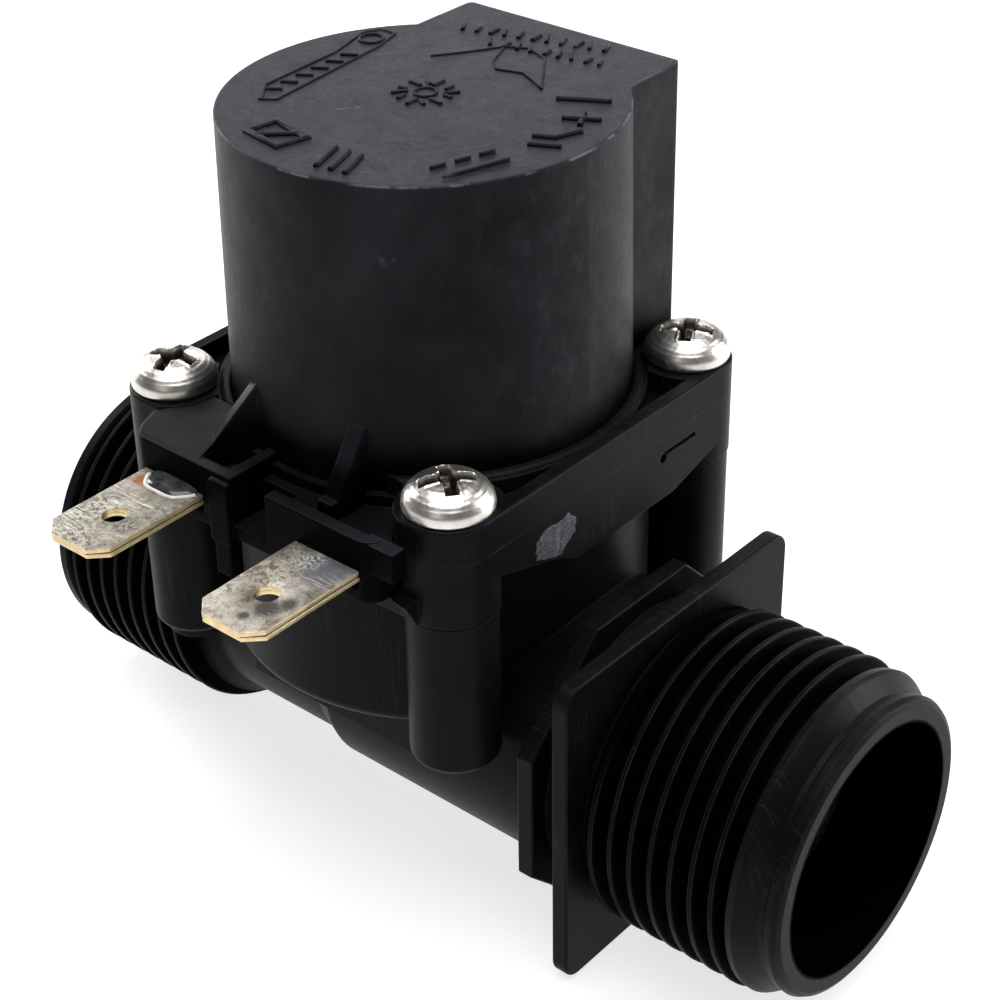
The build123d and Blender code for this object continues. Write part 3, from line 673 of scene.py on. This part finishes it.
def screw(name, cx, cy, turn, seed):
    rnd = random.Random(seed)
    rings, seg = 62, 176
    verts, faces, depth = [], [], []
    rr = [3.42 * (k / rings) ** 0.94 for k in range(1, rings + 1)]
    arms = [1 + rnd.uniform(-0.06, 0.08) for _ in range(4)]
    off = Vector((seed * 3.1, seed * 1.7, 0))

    def height(x, y):
        r = math.hypot(x, y)
        z = dome(r)
        a = math.atan2(y, x) - turn
        k = int(round(a / (math.pi / 2))) % 4
        u = x * math.cos(turn) + y * math.sin(turn)
        v = -x * math.sin(turn) + y * math.cos(turn)
        along, across = (abs(u), abs(v)) if k % 2 == 0 else (abs(v), abs(u))
        reach = 1.98 * arms[k]
        w = 0.30 + 0.05 * along
        n = noise.noise(Vector((x * 2.2, y * 2.2, 0)) + off) * 0.05
        slot = smooth(w + 0.17 + n, w - 0.06 + n, across) * smooth(reach + 0.10, reach - 0.22, along)
        core = smooth(0.98, 0.62, r + n)
        cut = max(slot * (1.72 - 0.42 * along), core * 1.95)
        # metal pushed up at the lip of the recess
        lip = smooth(w + 0.44, w + 0.20, across) * (1 - slot) * smooth(reach + 0.3, reach - 0.1, along)
        cam = noise.noise(Vector((x * 1.6 + 4, y * 1.6, 2)) + off)
        z += 0.10 * lip * (0.5 + 1.3 * max(0.0, cam)) * (1 - core)
        z += 0.012 * noise.noise(Vector((x * 3, y * 3, 5)) + off)
        return z - cut, min(1.0, cut / 1.2)

    z, d = height(0, 0)
    verts.append(P(cx, cy, Z_SEAT + z))
    depth.append(d)
    for r in rr:
        for i in range(seg):
            a = 2 * math.pi * i / seg
            x, y = r * math.cos(a), r * math.sin(a)
            z, d = height(x, y)
            verts.append(P(cx + x, cy + y, Z_SEAT + z))
            depth.append(d)
    # rolled rim, flat under the head, then the shank
    under = [(3.42, 0.25), (3.36, 0.10), (3.26, 0.02), (1.95, 0.0), (1.72, -0.1), (1.66, -0.5)]
    zz = -0.5
    while zz > -16.2:
        under += [(1.66, zz - 0.35), (1.30, zz - 0.62), (1.30, zz - 0.80), (1.66, zz - 1.07)]
        zz -= 1.25
    under += [(1.30, -17.0), (0.5, -17.7)]
    for r, z in under:
        for i in range(seg):
            a = 2 * math.pi * i / seg
            verts.append(P(cx + r * math.cos(a), cy + r * math.sin(a), Z_SEAT + z))
            depth.append(0.0)
    for i in range(seg):
        faces.append((0, 1 + i, 1 + (i + 1) % seg))
    total = len(rr) + len(under)
    for k in range(total - 1):
        for i in range(seg):
            a, b = 1 + k * seg + i, 1 + k * seg + (i + 1) % seg
            faces.append((a, a + seg, b + seg, b))
    last = 1 + (total - 1) * seg
    faces.append(tuple(last + i for i in range(seg)))
    return piece(name, verts, faces, SCREW, sharp=50.0, attr=depth)


s0 = screw("cover_screw_rear_left", -14.2, -14.2, math.radians(14), 3)
screw("cover_screw_front", 14.2, -14.2, math.radians(52), 11)
screw("cover_screw_right", 14.2, 14.2, math.radians(28), 7)
screw("cover_screw_back", -14.2, 14.2, math.radians(71), 19)
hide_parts("cover_screws")


# ---------------------------------------------------------------------------
# blade terminals: one strip folded double at the tip, so the sides show two layers
# ---------------------------------------------------------------------------
def blade(name, cx, node, mat, seed, tilt=0.0):
    y_root, y_tip = -17.15, -30.95
    w, c = 3.15, 1.28
    hole_y, hole_r = -26.45, 0.95
    top, bot, gap = 22.4, 21.6, 0.035
    parts = []
    for layer, (z1, z0) in enumerate(((top, (top + bot) / 2 + gap), ((top + bot) / 2 - gap, bot))):
        grow = 0.0 if layer == 0 else 0.05
        # outline, counter-clockwise seen from above, corners divided finely
        out = [(-w, y_root), (-w, y_tip + c), (-w + c, y_tip + 0.03 * layer),
               (w - c, y_tip + 0.03 * layer), (w, y_tip + c), (w, y_root)]
        pts = []
        for (x0, y0), (x1, y1) in zip(out, out[1:] + out[:1]):
            m = max(1, int(math.hypot(x1 - x0, y1 - y0) / 0.45))
            for k in range(m):
                t = k / m
                pts.append((x0 + (x1 - x0) * t, y0 + (y1 - y0) * t))
        bm = bmesh.new()
        ring = []
        for x, y in pts:
            ring.append(bm.verts.new((x, y, 0)))
        outer = [bm.edges.new((ring[i], ring[(i + 1) % len(ring)])) for i in range(len(ring))]
        hr = hole_r + (0.0 if layer == 0 else 0.06)
        hring = []
        for k in range(36):
            a = 2 * math.pi * k / 36
            hring.append(bm.verts.new((hr * math.cos(a), hole_y + hr * math.sin(a), 0)))
        inner = [bm.edges.new((hring[i], hring[(i + 1) % 36])) for i in range(36)]
        bmesh.ops.triangle_fill(bm, edges=outer + inner, use_beauty=True)
        bad = [f for f in bm.faces if (f.calc_center_median() - Vector((0, hole_y, 0))).length < hr * 0.9]
        if bad:
            bmesh.ops.delete(bm, geom=bad, context="FACES_ONLY")
        for f in bm.faces:
            if f.normal.z < 0:
                f.normal_flip()
        geom = bmesh.ops.extrude_face_region(bm, geom=bm.faces[:])
        up = [v for v in geom["geom"] if isinstance(v, bmesh.types.BMVert)]
        for v in up:
            v.co.z += 1.0
        bmesh.ops.recalc_face_normals(bm, faces=bm.faces)
        me = bpy.data.meshes.new(name + "_tmp")
        sel = []
        for e in bm.edges:
            if len(e.link_faces) == 2 and e.calc_face_angle(0) > 0.6:
                sel.append(e)
        # set the thickness before the edges are rounded
        for v in bm.verts:
            v.co.z = z0 + v.co.z * (z1 - z0)
        bmesh.ops.bevel(bm, geom=sel, offset=0.07, segments=2, profile=0.6, affect="EDGES",
                        clamp_overlap=True)
        for v in bm.verts:
            x, y = v.co.x, v.co.y
            # blanking drag at the hole and the slight hand-bent wave of a used blade
            q = math.hypot(x, y - hole_y)
            dz = -0.05 * math.exp(-((q - hole_r) / 0.25) ** 2) if layer == 0 else 0.0
            dz += 0.018 * noise.noise(Vector((x * 0.6 + seed, y * 0.45, layer)))
            if y < -29.4 and layer == 0:
                dz -= 0.05 * smooth(-29.6, -30.9, y)
            v.co.z += dz
            v.co.x += cx + grow * (1 if x > 0 else 0)
        bm.to_mesh(me)
        verts = [P(*v.co) for v in me.vertices]
        faces = [tuple(p.vertices) for p in me.polygons]
        parts.append((verts, faces))
        bm.free()
        bpy.data.meshes.remove(me)
    # the fold that joins the two layers at the tip
    verts, faces = [], []
    zc = (top + bot) / 2
    m, k2 = 10, 9
    for i in range(m + 1):
        x = cx - (w - c) + 0.12 + (2 * (w - c) - 0.24) * i / m
        for j in range(k2):
            a = -math.pi / 2 + math.pi * j / (k2 - 1)
            verts.append(P(x, y_tip + 0.34 - 0.335 * math.cos(a), zc + 0.335 * math.sin(a)))
    for i in range(m):
        for j in range(k2):
            a, b = i * k2 + j, i * k2 + (j + 1) % k2
            faces.append((a, b, b + k2, a + k2))
    faces.append(tuple(range(k2)))
    faces.append(tuple(m * k2 + j for j in range(k2))[::-1])
    parts.append((verts, faces))
    v, f = merge(parts)
    o = piece(name, v, f, mat, sharp=35.0)
    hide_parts(node)
    return o


blade("blade_left", -8.0, "terminal_left", TAB_L, 2.0)
blade("blade_right", 8.0, "terminal_right", TAB_R, 9.0)

# resin that crept over the root of the left blade, and its meniscus painted bright as a highlight
verts, faces = [], []
rings, seg = 10, 48


BX, BY = -7.75, -20.95


def bead_edge(a):
    return (2.45 + 0.12 * math.sin(3 * a + 0.5), 1.50 + 0.08 * math.sin(5 * a))


verts.append(P(BX, BY, 22.40 + 0.46))
for k in range(1, rings + 1):
    t = k / rings
    for i in range(seg):
        a = 2 * math.pi * i / seg
        ex, ey = bead_edge(a)
        z = 0.46 * math.sqrt(max(0.0, 1 - t * t)) ** 0.9 - (0.04 if k == rings else 0)
        verts.append(P(BX + ex * t * math.cos(a), BY + ey * t * math.sin(a), 22.40 + z))
base = len(verts)
for i in range(seg):
    a = 2 * math.pi * i / seg
    ex, ey = bead_edge(a)
    verts.append(P(BX + ex * 0.9 * math.cos(a), BY + ey * 0.9 * math.sin(a), 22.30))
for i in range(seg):
    faces.append((0, 1 + i, 1 + (i + 1) % seg))
for k in range(rings):
    for i in range(seg):
        a, b = 1 + k * seg + i, 1 + k * seg + (i + 1) % seg
        faces.append((a, a + seg, b + seg, b))
faces.append(tuple(base + i for i in range(seg)))
piece("resin_bead", verts, faces, BEAD)
path = []
for i in range(40):
    a = math.pi * 1.02 + math.pi * 0.98 * i / 39
    ex, ey = bead_edge(a)
    path.append(P(BX + (ex + 0.02) * math.cos(a), BY + (ey + 0.04) * math.sin(a), 22.43))
v, f = tube(path, 0.00016, 8)
piece("solder_meniscus", v, f, MENISCUS_HIGHLIGHT)

# ---------------------------------------------------------------------------
# raised marks on the coil's top: generic symbols only
# ---------------------------------------------------------------------------
Z_TOP = 48.6


def stroke(points, width=0.30, height=0.24, closed=False, base=Z_TOP):
    """Raised line with sloping sides and rounded top along (x, y) points in mm."""
    pts = [Vector((x, y)) for x, y in points]
    n = len(pts)
    verts, faces = [], []
    sect = [(-0.5, -0.05), (-0.46, 0.55), (-0.34, 0.88), (-0.15, 1.0), (0.15, 1.0),
            (0.34, 0.88), (0.46, 0.55), (0.5, -0.05)]
    for i, p in enumerate(pts):
        a = pts[(i - 1) % n] if (closed or i) else pts[i]
        b = pts[(i + 1) % n] if (closed or i < n - 1) else pts[i]
        t = (b - a).normalized()
        s = Vector((-t.y, t.x))
        if (closed or 0 < i < n - 1):
            t0 = (p - a).normalized()
            mitre = max(0.5, abs(s.dot(Vector((-t0.y, t0.x)))))
            s = s / mitre
        for u, h in sect:
            q = p + s * (u * width)
            verts.append(P(q.x, q.y, base + h * height))
    k = len(sect)
    for i in range(n if closed else n - 1):
        j = (i + 1) % n
        for m in range(k):
            faces.append((i * k + m, i * k + (m + 1) % k, j * k + (m + 1) % k, j * k + m))
    if not closed:
        faces.append(tuple(range(k)))
        faces.append(tuple((n - 1) * k + m for m in range(k))[::-1])
    return verts, faces


def ring(cx, cy, r, width, height, seg=48):
    return stroke([(cx + r * math.cos(2 * math.pi * i / seg), cy + r * math.sin(2 * math.pi * i / seg))
                   for i in range(seg)], width, height, closed=True)


def arc(cx, cy, r, a0, a1, width, height, seg=24):
    return stroke([(cx + r * math.cos(math.radians(a0 + (a1 - a0) * i / seg)),
                    cy + r * math.sin(math.radians(a0 + (a1 - a0) * i / seg)))
                   for i in range(seg + 1)], width, height)


def local(cx, cy, deg, pts):
    a = math.radians(deg)
    return [(cx + x * math.cos(a) - y * math.sin(a), cy + x * math.sin(a) + y * math.cos(a))
            for x, y in pts]


marks = []
W0, H0 = 0.42, 0.29
# coil symbol (a box with a diagonal) and three tally bars, along the front left rim
marks.append(stroke(local(-3.7, -11.4, -12, [(-1.9, -1.25), (1.9, -1.25), (1.9, 1.25), (-1.9, 1.25)]),
                    W0, H0, closed=True))
marks.append(stroke(local(-3.7, -11.4, -12, [(-0.9, -1.2), (0.9, 1.2)]), W0, H0))
for x0 in (1.4, 2.6, 3.8):
    marks.append(stroke([(x0 + 0.9, -13.6 + 0.35 * (x0 - 1.4) / 2.4), (x0 - 0.2, -10.4)], W0, H0))
# chevron, plus and a heavy bar, along the right rim
marks.append(stroke([(10.75, -0.45), (12.25, 0.30), (13.0, 2.35)], W0, H0))
marks.append(stroke([(11.4, -1.75), (13.55, -0.70)], W0, H0))
marks.append(stroke([(10.4, 3.3), (12.9, 4.7)], W0, H0))
marks.append(stroke([(12.25, 3.0), (11.1, 5.0)], W0, H0))
marks.append(stroke([(7.8, 5.87), (11.34, 7.87)], 0.52, H0))
# date flower in the middle: hub and short bars
marks.append(ring(-0.55, 0.88, 0.85, 0.22, 0.17, 36))
for k in range(12):
    a = 2 * math.pi * (k + 0.3) / 12
    r1, r2 = (1.35, 2.55) if k % 2 else (1.55, 2.30)
    skew = 0.22 if k % 3 else -0.12
    marks.append(stroke([(-0.55 + r1 * math.cos(a - skew), 0.88 + r1 * math.sin(a - skew)),
                         (-0.55 + r2 * math.cos(a), 0.88 + r2 * math.sin(a))], 0.34, 0.20))
# long rule that ends in a plain outline arrow
marks.append(stroke([(-5.07, 6.52), (-3.41, 8.83), (-1.83, 11.4)], 0.20, 0.14))
marks.append(stroke([(-1.83, 11.4), (-0.15, 12.25), (2.09, 11.5), (5.83, 6.54), (2.75, 8.15),
                     (0.63, 7.52)], 0.22, 0.15))
marks.append(stroke([(0.63, 7.52), (-0.61, 8.63), (-1.83, 11.4)], 0.22, 0.15))
# two rows of tally bars on the square back
for k in range(11):
    x0, y0 = -7.0 + 1.16 * k, 12.75 + 0.31 * k
    lean = 0.34 * ((k * 7) % 3 - 1)
    marks.append(stroke([(x0 + 0.25, y0 - 0.62), (x0 - 0.25 + lean, y0 + 0.62)], 0.34, 0.24))
for k in range(9):
    x0, y0 = -3.2 + 1.16 * k, 11.5 + 0.22 * k
    if math.hypot(x0, y0) > 14.3 and y0 < 12.0:
        continue
    lean = 0.34 * ((k * 5) % 3 - 1)
    marks.append(stroke([(x0 + 0.25, y0 - 0.50), (x0 - 0.25 + lean, y0 + 0.50)], 0.34, 0.24))
# an empty badge frame with bars and a ring where a maker would sign
marks.append(stroke([(-9.3, -7.5), (-11.0, -5.3), (-11.4, 2.6), (-12.6, 7.0), (-11.9, 8.4),
                     (-10.4, 8.3), (-9.6, 5.7), (-8.95, -0.4), (-8.3, -6.9)], 0.20, 0.14, closed=True))
marks.append(ring(-11.1, 6.35, 0.95, 0.26, 0.20, 32))
for k in range(6):
    marks.append(stroke([(-10.45 - 0.06 * k, -5.9 + 1.68 * k), (-9.35 - 0.04 * k, -5.2 + 1.68 * k)],
                        0.34, 0.20))
v, f = merge(marks)
piece("coil_top_marks", v, f, COIL, sharp=60.0)

# ---------------------------------------------------------------------------
# knocked patch on the bonnet's inlet side
# ---------------------------------------------------------------------------
verts, faces = [], []
outline = [(-5.18, 22.45), (-4.09, 21.46), (-4.29, 20.26), (-5.43, 19.54), (-6.0, 18.95),
           (-7.66, 19.45), (-8.95, 20.0), (-8.99, 21.35), (-8.36, 21.98), (-7.63, 22.34),
           (-6.4, 22.10), (-5.6, 22.20)]
cy_, cz_ = -6.7, 20.9
nr, ns = 16, 96
loop = []
for i in range(ns):
    q = i * len(outline) / ns
    k, t = int(q), q - int(q)
    (y0, z0_), (y1, z1_) = outline[k], outline[(k + 1) % len(outline)]
    j = 1 + 0.10 * noise.noise(Vector((i * 0.35, 0.2, 3.0)))
    loop.append((cy_ + (y0 + (y1 - y0) * t - cy_) * j, cz_ + (z0_ + (z1_ - z0_) * t - cz_) * j))


def gouge(y, z, t):
    """Height of the torn skin: ridges that lean the way the blow went."""
    u, v = y * 0.86 + z * 0.5, -y * 0.5 + z * 0.86
    n1 = noise.noise(Vector((u * 0.9, v * 3.6, 0.4)))
    n2 = noise.noise(Vector((u * 2.4, v * 8.0, 1.7)))
    return (0.05 + 0.16 * abs(n1) + 0.07 * n2) * (1 - t ** 4)


verts.append(P(17.8 + gouge(cy_, cz_, 0), cy_, cz_))
for k in range(1, nr + 1):
    t = k / nr
    for i in range(ns):
        y = cy_ + (loop[i][0] - cy_) * t
        z = cz_ + (loop[i][1] - cz_) * t
        x = 17.8 + (max(0.008, gouge(y, z, t)) if k < nr else -0.06)
        verts.append(P(x, y, min(z, 23.1)))
for i in range(ns):
    faces.append((0, 1 + i, 1 + (i + 1) % ns))
for k in range(nr - 1):
    for i in range(ns):
        a, b = 1 + k * ns + i, 1 + k * ns + (i + 1) % ns
        faces.append((a, a + ns, b + ns, b))
faces.append(tuple(1 + (nr - 1) * ns + i for i in range(ns)))
piece("knock_mark", verts, faces, BRUISE, sharp=70.0)

# ---------------------------------------------------------------------------
# run-out of the inlet thread: the ridge climbs out of the root beside the plate
# ---------------------------------------------------------------------------
verts, faces = [], []
PITCH, R_ROOT, R_CREST = 1.814, 12.06, 13.22
steps = 260
tan_f = math.tan(math.radians(27.5))
for i in range(steps + 1):
    t = -0.95 + (1.90 + 0.95) * i / steps
    h = (R_CREST - R_ROOT) * smooth(-1.05, 0.50, t) + 0.012 - 0.08 * smooth(1.55, 1.90, t)
    th = math.radians(200.0 + 360.0 * t / PITCH)
    crest = 0.16 + (R_CREST - R_ROOT - min(h, R_CREST - R_ROOT)) * tan_f
    grow = 0.012 - 0.06 * smooth(1.55, 1.90, t)
    sect = [(-crest - (h + 0.2) * tan_f - grow, -0.2), (-crest - grow, h), (crest + grow, h),
            (crest + (h + 0.2) * tan_f + grow, -0.2)]
    for dx, dr in sect:
        r = R_ROOT + dr
        verts.append(P(max(24.5, 25.9 + t + dx), r * math.sin(th), -r * math.cos(th)))
for i in range(steps):
    for k in range(4):
        a, b = i * 4 + k, i * 4 + (k + 1) % 4
        faces.append((a, b, b + 4, a + 4))
faces.append((0, 1, 2, 3))
faces.append(tuple(steps * 4 + k for k in (3, 2, 1, 0)))
piece("inlet_thread_runout", verts, faces, NYLON, sharp=30.0)

# ---------------------------------------------------------------------------
# return spring and diaphragm, soft at the joints
# ---------------------------------------------------------------------------
path = []
turns, z0, z1, rm = 7.0, 31.31, 43.0, 2.6
for i in range(int(turns * 40) + 1):
    t = i / (turns * 40)
    a = 2 * math.pi * turns * t
    path.append(P(rm * math.cos(a), rm * math.sin(a), z0 + (z1 - z0) * t))
v, f = tube(path, 0.00025, 10)
o = piece("return_spring", v, f, SPRING)
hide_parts("plunger_spring")
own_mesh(o)

prof = [(3.05, 13.5), (9.6, 13.5), (10.1, 13.62), (10.5, 13.95), (11.4, 15.0), (12.0, 15.85),
        (12.6, 16.6), (13.1, 17.15), (13.6, 17.45), (14.4, 17.6), (16.25, 17.6), (16.25, 18.4),
        (14.0, 18.4), (13.4, 18.32), (12.8, 18.0), (12.1, 17.4), (11.4, 16.5), (10.9, 15.9),
        (10.4, 15.35), (10.0, 15.12), (3.05, 15.1)]
v, f = lathe(prof, 120)
o = piece("rubber_diaphragm", v, f, RUBBER, sharp=50.0)
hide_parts("diaphragm")
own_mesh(o)

# ---------------------------------------------------------------------------
# woven strainer
# ---------------------------------------------------------------------------
parts = []
pitch, rad = 0.62, 9.45
n = int(rad / pitch)
for axis in (0, 1):
    for i in range(-n, n + 1):
        c = i * pitch
        half = math.sqrt(max(0.0, rad * rad - c * c))
        if half < 0.8:
            continue
        m = max(4, int(2 * half / (pitch / 3)))
        pth = []
        for k in range(m + 1):
            s = -half + 2 * half * k / m
            wv = 0.085 * math.cos(math.pi * s / pitch) * (1 if (i + axis) % 2 else -1)
            pth.append(P(32.3 + wv, *((c, s) if axis == 0 else (s, c))))
        parts.append(tube(pth, 0.00008, 5))
v, f = merge(parts)
o = piece("woven_strainer", v, f, MESHW, sharp=80.0)
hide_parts("strainer_mesh")

# ---------------------------------------------------------------------------
# floor, light, camera
# ---------------------------------------------------------------------------
fm = bpy.data.materials.new("floor")
fm.use_nodes = True
fb = fm.node_tree.nodes["Principled BSDF"]
fb.inputs["Base Color"].default_value = (0.34, 0.34, 0.34, 1)
fb.inputs["Emission Color"].default_value = (1.0, 1.0, 1.0, 1)
fb.inputs["Emission Strength"].default_value = 0.74
fb.inputs["Roughness"].default_value = 0.75
fb.inputs["Specular IOR Level"].default_value = 0.15
me = bpy.data.meshes.new("floor")
g = 3.0
me.from_pydata([(-g, -g, -0.0002), (g, -g, -0.0002), (g, g, -0.0002), (-g, g, -0.0002)], [], [(0, 1, 2, 3)])
floor = bpy.data.objects.new("floor", me)
me.materials.append(fm)
scene.collection.objects.link(floor)

world = bpy.data.worlds.new("studio")
scene.world = world
world.use_nodes = True
world.node_tree.nodes["Background"].inputs["Color"].default_value = (0.93, 0.96, 1.0, 1)
world.node_tree.nodes["Background"].inputs["Strength"].default_value = 0.11


def area(name, loc, target, size, power, color=(1, 1, 1), size_y=None):
    d = bpy.data.lights.new(name, "AREA")
    d.shape = "RECTANGLE" if size_y else "SQUARE"
    d.size = size
    if size_y:
        d.size_y = size_y
    d.energy = power
    d.color = color
    o = bpy.data.objects.new(name, d)
    o.location = loc
    o.rotation_mode = "QUATERNION"
    o.rotation_quaternion = (Vector(target) - Vector(loc)).to_track_quat("-Z", "Y")
    scene.collection.objects.link(o)
    return o


mid = Vector((0, 0, 0.03))
area("top_softbox", (0.05, -0.08, 1.10), mid, 1.00, 17.0)
area("back_softbox", (-0.36, 0.42, 0.30), mid, 0.46, 1.1)
area("left_strip", (-0.46, 0.02, 0.14), mid, 0.16, 2.1, size_y=0.40)
area("right_strip", (0.30, 0.40, 0.16), mid, 0.20, 2.5, size_y=0.40)
area("front_fill", (0.10, -0.46, 0.30), mid, 0.20, 0.12)

cam_d = bpy.data.cameras.new("camera")
cam = bpy.data.objects.new("camera", cam_d)
scene.collection.objects.link(cam)
scene.camera = cam
cam_d.sensor_width = 36.0
cam_d.lens = 2251.197 * 36.0 / 1000.0
cam_d.shift_x = (500 - 465) / 1000.0
cam_d.shift_y = (440 - 500) / 1000.0
cam_d.clip_start = 0.01
cam_d.clip_end = 20.0
right = Vector((0.75421, 0.656262, -0.022953))
up = Vector((-0.325018, 0.403546, 0.85532))
back = Vector((0.570592, -0.637623, 0.517633))
R = Matrix((right, up, back)).transposed()
cam.matrix_world = Matrix.Translation(P(104.4756, -113.1558, 112.4561)) @ R.to_4x4()
